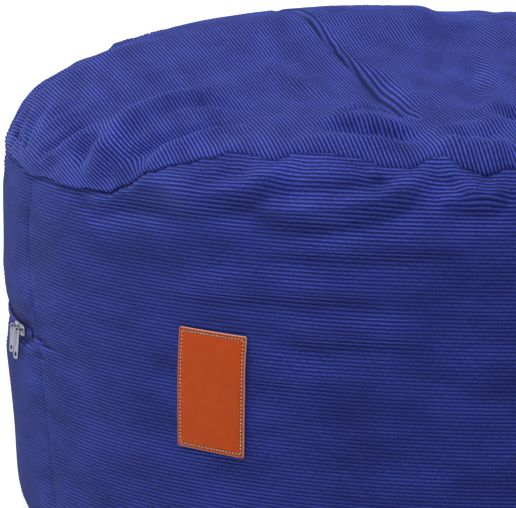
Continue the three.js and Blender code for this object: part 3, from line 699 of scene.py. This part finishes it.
def corduroy():
    """Cut-pile cotton corduroy. Painted light lies along the ribs' crowns, and the grooves are painted
    dark, partly for the dark ground weave and partly as painted shade; the pile is a little ruffled, so
    its depth varies in soft patches."""
    m = new_material("cut_pile_corduroy")
    wale = add_node(m, "ShaderNodeAttribute", attribute_name="wales").outputs["Fac"]
    along = add_node(m, "ShaderNodeAttribute", attribute_name="along").outputs["Fac"]
    turn = add_node(m, "ShaderNodeMath", {0: wale, 1: 2 * math.pi}, operation="MULTIPLY").outputs[0]
    wave = add_node(m, "ShaderNodeMath", {0: turn}, operation="COSINE").outputs[0]
    crown = add_node(m, "ShaderNodeMapRange", {"Value": wave, "From Min": 1, "From Max": -1}).outputs[0]
    # the flat cloth, in millimetres: x along the wales, y across them
    across = add_node(m, "ShaderNodeMath", {0: wale, 1: WALE}, operation="MULTIPLY").outputs[0]
    flat = add_node(m, "ShaderNodeCombineXYZ", {"X": along, "Y": across}).outputs[0]
    tufts = add_node(m, "ShaderNodeMapping", {"Vector": flat, "Scale": (0.9, 0.45, 1)}).outputs[0]
    tuft = add_node(m, "ShaderNodeTexNoise", {"Vector": tufts, "Scale": 1, "Detail": 2}).outputs["Fac"]
    brushed = add_node(m, "ShaderNodeMapping", {"Vector": flat, "Scale": (0.02, 0.05, 1)}).outputs[0]
    patchy = add_node(m, "ShaderNodeTexNoise", {"Vector": brushed, "Scale": 1, "Detail": 4}).outputs["Fac"]
    # painted light on the rib crowns and painted shade in the grooves, following the rib's profile
    pile_with_painted_shade = colour_ramp(m, crown, ((0.0, "#0d1854"), (0.3, "#232f84"), (0.7, "#424fb1"), (1.0, "#4c5abc")))
    patch_tint = colour_ramp(m, patchy, ((0.3, "#c4c4cc"), (0.7, "#ffffff")))
    tuft_tint = colour_ramp(m, tuft, ((0.25, "#b4b4be"), (0.7, "#ffffff")))
    tints = add_node(m, "ShaderNodeMix", {0: 1.0, 6: patch_tint, 7: tuft_tint},
                     data_type="RGBA", blend_type="MULTIPLY").outputs[2]
    colour = add_node(m, "ShaderNodeMix", {0: 1.0, 6: pile_with_painted_shade, 7: tints},
                      data_type="RGBA", blend_type="MULTIPLY").outputs[2]
    height = add_node(m, "ShaderNodeMath", {0: crown, 1: tuft}, operation="ADD").outputs[0]
    bump = add_node(m, "ShaderNodeBump", {"Height": height, "Strength": 0.6, "Distance": 0.35 * MM})
    shader = add_node(m, "ShaderNodeBsdfPrincipled", {
        "Base Color": colour, "Roughness": 0.92, "Normal": bump.outputs[0],
        "Sheen Weight": 0.25, "Sheen Roughness": 0.5, "Sheen Tint": linear("#8f9fe8"),
        "Specular IOR Level": 0.15})
    add_node(m, "ShaderNodeOutputMaterial", {"Surface": shader.outputs[0]})
    return m


corduroy_cloth = corduroy()


def dress(obj, material, node):
    """Gives a finished piece its material and body, and hides the CAD node that it stands for."""
    obj.data.materials.clear()
    obj.data.materials.append(material)
    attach(obj, "root")
    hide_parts(node)
    return obj


def dress_cloth(obj):
    """Finishes a corduroy panel of the filled cover."""
    dress(obj, corduroy_cloth, "filled_cover")


dress_cloth(front_band)

# ---- Back strips of the side band ---------------------------------------------------------------
# Two half-height strips of the same corduroy carry the band on round the back, one above and one
# below the zip. Their edges along the zip are folded under, and an upright seam ends them each side.

FOLD_LINE = 3.2  # from the middle of the zip to each strip's folded edge
SHUT_GAP = -0.6  # and where the strips close up and lap at the zip's ends
GAP_OPENS = (63.6, 65)  # bearings over which the strips part


def zip_fold(bearing):
    """Half the opening between the strips, which close up towards the upright seams."""
    return SHUT_GAP + (FOLD_LINE - SHUT_GAP) * smoothstep(np.abs(signed(bearing)), *GAP_OPENS)


for name, low, high in (
    ("back_band_lower", band_foot, lambda b: ZIP_HEIGHT - zip_fold(b)),
    ("back_band_upper", lambda b: ZIP_HEIGHT + zip_fold(b), band_top),
):
    dress_cloth(make_strip(name, low, high,
                           lambda h: (past_upright(h, -TURN_IN), 360 - past_upright(h, -TURN_IN)),
                           BACK_STEP))

# ---- Top panel ----------------------------------------------------------------------------------
# A round panel of the same corduroy, cut with its wales running almost front to back. The fill
# pushes it up into a low crown, and the loose cloth lies in long creases and gathers at the seam.

GRAIN_TURN = math.radians(18)  # that the wales are turned from front-to-back
WIDEST, USUAL_REACH = 372, 345  # the first is a little past the panel's greatest reach
SEARCH_STEPS = 60
TOP_COLUMNS = 92
EDGE_CLOSENESS = 1.35  # above 1, the columns lie closer towards both ends of a wale
SHORTEST_WALE = 6
STRETCHED = 0.7  # of the ribs' height, where the fill pulls the crown's cloth


def off_grain(across, along):
    """Bearing and reach of a point given by its distances across the wales and along them."""
    x = across * math.cos(GRAIN_TURN) - along * math.sin(GRAIN_TURN)
    y = across * math.sin(GRAIN_TURN) + along * math.cos(GRAIN_TURN)
    return np.degrees(np.arctan2(-x, -y)), np.hypot(x, y)


def make_top():
    wales = wale_rows(-WIDEST, WIDEST)[:, None]
    across = wales * WALE
    ends = []
    for side in (-1, 1):
        # the end of each wale is found step by step, because the panel isn't quite round
        end = side * np.sqrt(np.maximum(USUAL_REACH**2 - across**2, 0))
        for _ in range(SEARCH_STEPS):
            rim = seam_reach(off_grain(across, end)[0]) + TURN_IN
            end = 0.5 * end + 0.5 * side * np.sqrt(np.maximum(rim**2 - across**2, 0))
        ends.append(end)
    long_enough = (ends[1] - ends[0])[:, 0] > SHORTEST_WALE
    across, low, high, wales = (rows[long_enough] for rows in (across, *ends, wales))
    t = np.linspace(-1, 1, TOP_COLUMNS)
    along = low + (high - low) * (0.5 + 0.5 * np.sign(t) * (1 - (1 - np.abs(t)) ** EDGE_CLOSENESS))
    bearing, reach = off_grain(across, along)
    points = top_point(bearing, reach)
    height = rib(wales) * RIB_HEIGHT * STRETCHED * ribs_left(bearing, seam_reach(bearing) - reach)
    points = points - normals_of(points) * height[..., None]
    made = cloth_mesh("top_panel", points, np.ones(height.shape, bool), wales=wales, along=along)
    made.data.flip_normals()
    return made


dress_cloth(make_top())

# ---- Base panel ---------------------------------------------------------------------------------
# The same corduroy closes the drum underneath. The fill presses it flat on the floor, and its edge
# curls up to meet the band in a plain seam.

BASE_EDGE = SECTION[0][0]  # how far the panel lies flat on the floor
BASE_REACH = BASE_EDGE + length_at(BASE_SEAM)
BASE_COLUMNS = 360
BASE_MIDDLE, MIDDLE_ROWS = 270, 34  # the flat middle needs few rows
CURL_STEP = 1.1


def base_point(bearing, reach):
    held = np.minimum(reach, BASE_REACH)
    rise = seam_dip(BASE_REACH - held) - np.maximum(reach - BASE_REACH, 0)
    curled = on_drum(bearing, np.maximum(held - BASE_EDGE, 0), rise)
    flat_share = np.minimum(held / BASE_EDGE, 1)
    return curled * np.stack([flat_share, flat_share, np.ones(flat_share.shape)], axis=-1)


def make_base():
    reach = np.concatenate([
        np.linspace(1, BASE_MIDDLE, MIDDLE_ROWS), np.arange(BASE_MIDDLE + 2, BASE_REACH, CURL_STEP),
        BASE_REACH + np.array([0, 2, TURN_IN])])
    bearing, reach = np.meshgrid(np.linspace(0, 360, BASE_COLUMNS + 1), reach)
    x, y = flat_place(bearing, reach)
    points = base_point(bearing, reach)
    return cloth_mesh("base_panel", points, np.ones(x.shape, bool), wales=x / WALE, along=y)


dress_cloth(make_base())

# ---- Zip ----------------------------------------------------------------------------------------
# A nylon coil zip on dark blue woven tape closes the opening round the back. It is sewn under the
# strips' folded edges, so that only the coil and a little of its tape show in the groove.

TAPE_HALF, TAPE_THICK = 6.2, 0.6
TAPE_OUT = -4.7  # from the band's even face
TAPE_STEP = 1.5  # degrees
TAPE_RIB = 0.9  # from one cross rib of its weave to the next
# the tape's section: up as a share of its half width, and out as a share of its thickness
TAPE_SECTION = np.array([(-1, 0), (-1, 1), (-0.45, 1), (0, 1), (0.45, 1), (1, 1), (1, 0)])

COIL_STEP = 1.0  # from one bar of the coil to the next, which comes from the other side
COIL_WIRE = 0.74
COIL_OUT = -2.85
# one bar: along the zip as a share of the step, up from the middle, and out
COIL_BAR = np.array([
    (-0.35, -2.5, -0.9), (-0.3, -2.3, 0.15), (-0.12, -1.1, 0.55), (0.08, 0.3, 0.5), (0.3, 1, -0.1)])


def round_zip(bearing, up, out):
    """Points in the zip's groove, by their height from its middle and distance out from the band."""
    turn = np.radians(bearing)
    radius = np.interp(length_at(ZIP_HEIGHT), outline_length, outline[:, 0]) + out
    height = ZIP_HEIGHT + up + 0 * turn
    return np.stack([-radius * np.sin(turn), -radius * np.cos(turn), height], axis=-1)


def tubes(name, lines, outward, thickness, sides):
    """Round threads or wires along the lines, each with its own outward direction, with closed ends."""
    count, steps = lines.shape[:2]
    along = np.gradient(lines, axis=1)
    along /= np.linalg.norm(along, axis=-1, keepdims=True)
    beside = np.cross(along, outward[:, None])
    beside /= np.linalg.norm(beside, axis=-1, keepdims=True)
    over = np.cross(beside, along)
    turn = np.arange(sides) * 2 * np.pi / sides
    spread = np.cos(turn)[:, None] * beside[:, :, None] + np.sin(turn)[:, None] * over[:, :, None]
    points = lines[:, :, None] + spread * thickness / 2
    index = np.arange(points[..., 0].size).reshape(count, steps, sides)
    beyond = np.roll(index, -1, axis=2)
    quads = np.stack([index[:, :-1], index[:, 1:], beyond[:, 1:], beyond[:, :-1]], axis=-1).reshape(-1, 4)
    ends = np.concatenate([index[:, 0], index[:, -1, ::-1]])
    mesh = bpy.data.meshes.new(name)
    mesh.from_pydata((points.reshape(-1, 3) * MM).tolist(), [], quads.tolist() + ends.tolist())
    mesh.shade_smooth()
    return placed(name, mesh)


def zip_tape():
    bearing = np.arange(ZIP_START, 360 - ZIP_START, TAPE_STEP)
    up, out = TAPE_SECTION.T[:, :, None] * np.array([TAPE_HALF, TAPE_THICK])[:, None, None]
    points = round_zip(bearing + 0 * up, up, out + TAPE_OUT)
    return cloth_mesh("zip_tape", points, np.ones(points.shape[:2], bool), along=across_band(bearing))


def zip_coil():
    place = np.arange(across_band(ZIP_START), across_band(360 - ZIP_START), COIL_STEP)
    side = np.where(np.arange(len(place)) % 2, 1, -1)
    shift, up, out = COIL_BAR.T
    bearing = np.degrees((place[:, None] + shift * COIL_STEP) / BAND_RADIUS)
    lines = round_zip(bearing, up * side[:, None], out + COIL_OUT + 0 * bearing)
    return tubes("zip_coil", lines, level_out(lines[:, 2]), COIL_WIRE, 5)


def dyed_nylon(name, colours, roughness, rib_step=None):
    """Solution-dyed nylon. Woven tape has fine cross ribs; moulded coil is plain and a little shiny."""
    m = new_material(name)
    place = add_node(m, "ShaderNodeTexCoord").outputs["Object"]
    cloud = add_node(m, "ShaderNodeTexNoise", {"Vector": place, "Scale": 900, "Detail": 3}).outputs["Fac"]
    tint = colour_ramp(m, cloud, ((0.3, colours[0]), (0.7, colours[1])))
    weave = cloud
    if rib_step:
        along = add_node(m, "ShaderNodeAttribute", attribute_name="along").outputs["Fac"]
        turn = add_node(m, "ShaderNodeMath", {0: along, 1: 2 * math.pi / rib_step}, operation="MULTIPLY")
        weave = add_node(m, "ShaderNodeMath", {0: turn.outputs[0]}, operation="SINE").outputs[0]
    bump = add_node(m, "ShaderNodeBump", {"Height": weave, "Strength": 0.5, "Distance": 0.12 * MM})
    shader = add_node(m, "ShaderNodeBsdfPrincipled", {
        "Base Color": tint, "Roughness": roughness, "Normal": bump.outputs[0], "Specular IOR Level": 0.4})
    add_node(m, "ShaderNodeOutputMaterial", {"Surface": shader.outputs[0]})
    return m


tape_nylon = dyed_nylon("woven_zip_tape", ("#101650", "#1b2470"), 0.8, TAPE_RIB)
coil_nylon = dyed_nylon("nylon_coil", ("#141c66", "#1f2a86"), 0.42)
tape = dress(zip_tape(), tape_nylon, "zip_chain")
dress(zip_coil(), coil_nylon, "zip_chain")

# ---- Zip sliders and their pulls ----------------------------------------------------------------
# Two die-cast sliders stand head to head at the zip's left end, each with a flat stamped pull that
# hangs from its bail. They are nickel plated, with edges rounded by tumbling before the plating.

TUMBLED_EDGE = 0.22
EDGE_ANGLE = math.radians(50)  # corners sharper than this are tumbled round
CRISP_ANGLE = math.radians(38)  # and those left sharper than this still look crisp


def nickel():
    """Bright nickel plate on cast zinc, cloudy where it is rubbed, with fine scratches down it."""
    m = new_material("bright_nickel_plate")
    place = add_node(m, "ShaderNodeTexCoord").outputs["Object"]
    cloud = add_node(m, "ShaderNodeTexNoise", {"Vector": place, "Scale": 500, "Detail": 4}).outputs["Fac"]
    colour = colour_ramp(m, cloud, ((0.3, "#8d8e9b"), (0.7, "#a9aab8")))
    rubbed = add_node(m, "ShaderNodeMapRange", {"Value": cloud, "To Min": 0.2, "To Max": 0.42}).outputs[0]
    scratches = add_node(m, "ShaderNodeMapping", {"Vector": place, "Scale": (1, 1, 0.08)}).outputs[0]
    fine = add_node(m, "ShaderNodeTexNoise", {"Vector": scratches, "Scale": 6000, "Detail": 2})
    bump = add_node(m, "ShaderNodeBump", {
        "Height": fine.outputs["Fac"], "Strength": 0.25, "Distance": 0.03 * MM})
    shader = add_node(m, "ShaderNodeBsdfPrincipled", {
        "Base Color": colour, "Metallic": 1.0, "Roughness": rubbed, "Normal": bump.outputs[0]})
    add_node(m, "ShaderNodeOutputMaterial", {"Surface": shader.outputs[0]})
    return m


plated = nickel()
for part in ("slider_left", "slider_right", "pull_left", "pull_right"):
    solid = bpy.data.objects[part]
    shape = bmesh.new()
    shape.from_mesh(solid.data)
    shape.transform(solid.matrix_world)
    bmesh.ops.remove_doubles(shape, verts=shape.verts, dist=0.001 * MM)
    bmesh.ops.dissolve_limit(shape, angle_limit=math.radians(2), verts=shape.verts, edges=shape.edges)
    corners = [e for e in shape.edges if e.is_manifold and e.calc_face_angle() > EDGE_ANGLE]
    bmesh.ops.bevel(shape, geom=corners, offset=TUMBLED_EDGE * MM, segments=2, profile=0.6,
                    affect="EDGES", clamp_overlap=True)
    mesh = bpy.data.meshes.new(part + "_plated")
    shape.to_mesh(mesh)
    shape.free()
    mesh.shade_smooth()
    piece = placed(part + "_plated", mesh)
    piece.modifiers.new("crisp", "EDGE_SPLIT").split_angle = CRISP_ANGLE
    dress(piece, plated, part)

# ---- Sewn patch ---------------------------------------------------------------------------------
# A bare rectangle of orange leatherette is sewn flat to the band with one row of stitches round its
# edge. The cut edge shows its paler backing, and the needle has drawn a small pit at every hole.

PATCH_CORNERS = ((33.3, 191), (24.95, 190), (25.6, 116), (33.9, 117.8))  # bearing, height, from top left
PATCH_WIDE, PATCH_HIGH, PATCH_THICK = 48.5, 73.5, 1.1
PATCH_LIFT = 0.8  # its underside lies on the ribs
PATCH_ROUND = 1.3  # radius of its corners
PATCH_STEP = 0.55
EDGE_ROUND = 0.5  # how far in its face starts to round down to the cut edge
EDGE_DROP = 0.3  # the share of its thickness that it rounds down by
UNDER = 1.5  # how far its underside shows
STITCH = 2.2
STITCH_IN = 2.1
SEWN_DIP, SEWN_WIDTH = 0.2, 0.7  # the dip that the row of stitches pulls
PIT_DEPTH, PIT_RADIUS = 0.5, 0.72
THREAD = 0.46
# one stitch: along as a share of its length, across, and over the face
STITCH_LINE = np.array([
    (0.18, -0.35, -0.5), (0.28, -0.25, 0), (0.5, 0, 0.12), (0.72, 0.25, 0), (0.82, 0.35, -0.5)])
SIDE_STITCHES_SUNK = 0.36  # the side rows were pulled tighter


def patch_point(across, up, out):
    """A point of the patch, from its lower left corner, raised off the band."""
    share, top = across / PATCH_WIDE, up / PATCH_HIGH
    bearing, height = (top * (a + (b - a) * share) + (1 - top) * (d + (c - d) * share)
                       for a, b, c, d in zip(*PATCH_CORNERS))
    ground = cloth_point(bearing, height)
    return ground + level_out(ground) * out[..., None]


def stitch_holes():
    """Needle holes round the patch, as places across and up it."""
    wide, high = PATCH_WIDE - 2 * STITCH_IN, PATCH_HIGH - 2 * STITCH_IN
    corners = np.array([(0, 0), (wide, 0), (wide, high), (0, high), (0, 0)]) + STITCH_IN
    holes = []
    for start, end in zip(corners, corners[1:]):
        count = round(float(np.abs(end - start).sum()) / STITCH)
        holes.append(start + (end - start) * np.linspace(0, 1, count, endpoint=False)[:, None])
    return np.vstack(holes)


def make_patch():
    """The leatherette, out to its rounded edge, down the cut edge, and a little way back under."""
    size = np.array([PATCH_WIDE, PATCH_HIGH])
    lines = [np.linspace(0, s, int(s / PATCH_STEP)) for s in size]
    lines = [np.concatenate([line[[0, 0]], line, line[[-1, -1]]]) for line in lines]
    flat = np.stack(np.meshgrid(*lines), axis=-1)
    centre = flat - size / 2
    straight = size / 2 - PATCH_ROUND
    beyond = np.clip(np.abs(centre) - straight, 0, None) / PATCH_ROUND
    beyond = beyond * np.sqrt(1 - beyond[..., ::-1] ** 2 / 2)
    centre = np.sign(centre) * (np.minimum(np.abs(centre), straight) + beyond * PATCH_ROUND)
    flat = centre + size / 2
    inner = np.max(np.abs(centre) - straight, axis=-1)
    from_edge = PATCH_ROUND - np.where(inner > 0, np.linalg.norm(beyond, axis=-1) * PATCH_ROUND, inner)
    apart = np.linalg.norm(flat[..., None, :] - stitch_holes(), axis=-1).min(axis=-1)
    pit = np.exp(-((apart / PIT_RADIUS) ** 4))
    rounding = np.sqrt(1 - (1 - np.clip(from_edge / EDGE_ROUND, 0, 1)) ** 2)
    sewn = SEWN_DIP * np.exp(-(((from_edge - STITCH_IN) / SEWN_WIDTH) ** 2))
    out = PATCH_LIFT + PATCH_THICK * (1 - EDGE_DROP + EDGE_DROP * rounding) - sewn - PIT_DEPTH * pit
    # the two outer rings of points go down the cut edge and back under
    row_ring, column_ring = (np.minimum(np.arange(n), n - 1 - np.arange(n)) for n in out.shape)
    ring = np.minimum(row_ring[:, None], column_ring)
    out = np.where(ring < 2, PATCH_LIFT - 0.25, out)
    flat = np.where((ring == 0)[..., None], size / 2 + centre * (1 - 2 * UNDER / size), flat)
    cut = np.where(ring < 2, 1, 1 - smoothstep(from_edge, 0.05, 0.45))
    points = patch_point(flat[..., 0], flat[..., 1], out)
    made = cloth_mesh("patch_leatherette", points, np.ones(out.shape, bool), cut=cut, pit=pit)
    made.data.flip_normals()
    return made


def patch_thread():
    """One short round thread from each needle hole to the next, leaning a little in its stitch."""
    holes = stitch_holes()
    run = np.roll(holes, -1, axis=0) - holes
    across = np.stack([-run[:, 1], run[:, 0]], axis=-1) / np.linalg.norm(run, axis=-1, keepdims=True)
    share, lean, over = STITCH_LINE.T
    flat = holes[:, None] + run[:, None] * share[:, None] + across[:, None] * lean[:, None]
    sunk = np.where(np.abs(run[:, 1]) > np.abs(run[:, 0]), SIDE_STITCHES_SUNK, 0)
    over = PATCH_LIFT + PATCH_THICK + over - sunk[:, None]
    lines = patch_point(flat[..., 0], flat[..., 1], over)
    return tubes("patch_thread", lines, level_out(lines[:, 2]), THREAD, 6)


def leatherette():
    """Coated cloth with a fine grain, a soft gloss and a slightly cloudy colour. Shade down the needle
    holes is painted in as a dark colour, and the cut edge shows the paler cloth."""
    m = new_material("orange_leatherette")
    place = add_node(m, "ShaderNodeTexCoord").outputs["Object"]
    cut = add_node(m, "ShaderNodeAttribute", attribute_name="cut").outputs["Fac"]
    pit = add_node(m, "ShaderNodeAttribute", attribute_name="pit").outputs["Fac"]
    grain = add_node(m, "ShaderNodeTexVoronoi", {"Vector": place, "Scale": 1500}, feature="SMOOTH_F1")
    cloud = add_node(m, "ShaderNodeTexNoise", {"Vector": place, "Scale": 120, "Detail": 5}).outputs["Fac"]
    coat = colour_ramp(m, cloud, ((0.25, "#99380a"), (0.75, "#a43e10")))
    backed = add_node(m, "ShaderNodeMix", {0: cut, 6: coat, 7: linear("#b08a84")},
                      data_type="RGBA").outputs[2]
    # painted shade: the colour goes dark brown down each needle hole
    colour = add_node(m, "ShaderNodeMix", {0: pit, 6: backed, 7: linear("#3a160c")},
                      data_type="RGBA").outputs[2]
    relief = add_node(m, "ShaderNodeMath", {0: grain.outputs["Distance"], 1: cloud}, operation="ADD")
    bump = add_node(m, "ShaderNodeBump", {
        "Height": relief.outputs[0], "Strength": 0.35, "Distance": 0.08 * MM})
    rough = add_node(m, "ShaderNodeMapRange", {"Value": cloud, "To Min": 0.5, "To Max": 0.66}).outputs[0]
    shader = add_node(m, "ShaderNodeBsdfPrincipled", {
        "Base Color": colour, "Roughness": rough, "Normal": bump.outputs[0], "Specular IOR Level": 0.12})
    add_node(m, "ShaderNodeOutputMaterial", {"Surface": shader.outputs[0]})
    return m


patch = dress(make_patch(), leatherette(), "patch")
pale_thread = dyed_nylon("pale_sewing_thread", ("#b08a70", "#dcc0aa"), 0.6)
dress(patch_thread(), pale_thread, "patch")

# ---- Floor, light and camera --------------------------------------------------------------------
# The footstool stands on a plain pale floor, in soft light from above and a weaker one from its
# left. A long lens looks down on it a little.

FLOOR_HALF = 6  # metres
EYE = (0, -1.9, 0.5187)  # metres
LOOK_LEFT, LOOK_DOWN = 4.76, 9.88  # degrees
LENS, SENSOR = 196, 36

floor_mesh = bpy.data.meshes.new("floor")
floor_corners = [(x * FLOOR_HALF, y * FLOOR_HALF, 0) for x, y in ((-1, -1), (1, -1), (1, 1), (-1, 1))]
floor_mesh.from_pydata(floor_corners, [], [(0, 1, 2, 3)])
pale = new_material("matt_white_paper")
paper = add_node(pale, "ShaderNodeBsdfPrincipled", {"Base Color": linear("#f6f6f6"), "Roughness": 1.0})
add_node(pale, "ShaderNodeOutputMaterial", {"Surface": paper.outputs[0]})
floor_mesh.materials.append(pale)
placed("floor", floor_mesh)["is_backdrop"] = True

for name, strength, spread, bearing, elevation in (
    ("overhead_softbox", 3.3, 24, 15, 67),
    ("left_softbox", 1.0, 40, 95, 28),
):
    light = bpy.data.lights.new(name, "SUN")
    light.energy, light.angle = strength, math.radians(spread)
    turn, lift = math.radians(bearing), math.radians(elevation)
    shining = Vector((math.sin(turn) * math.cos(lift), math.cos(turn) * math.cos(lift), -math.sin(lift)))
    placed(name, light).rotation_euler = shining.to_track_quat("-Z", "Y").to_euler()

world = bpy.data.worlds.new("studio")
bpy.context.scene.world = world
world.use_nodes = True
backdrop = world.node_tree.nodes["Background"].inputs
backdrop["Color"].default_value, backdrop["Strength"].default_value = linear("#ffffff"), 0.25

camera = bpy.data.cameras.new("camera")
camera.lens, camera.sensor_width = LENS, SENSOR
eye = placed("camera", camera)
eye.location = EYE
aim = (Matrix.Rotation(math.radians(LOOK_LEFT), 4, "Z")
       @ Matrix.Rotation(math.radians(90 - LOOK_DOWN), 4, "X"))
eye.rotation_euler = aim.to_euler()
bpy.context.scene.camera = eye
bpy.context.scene.view_settings.view_transform = "Standard"

low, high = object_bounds()
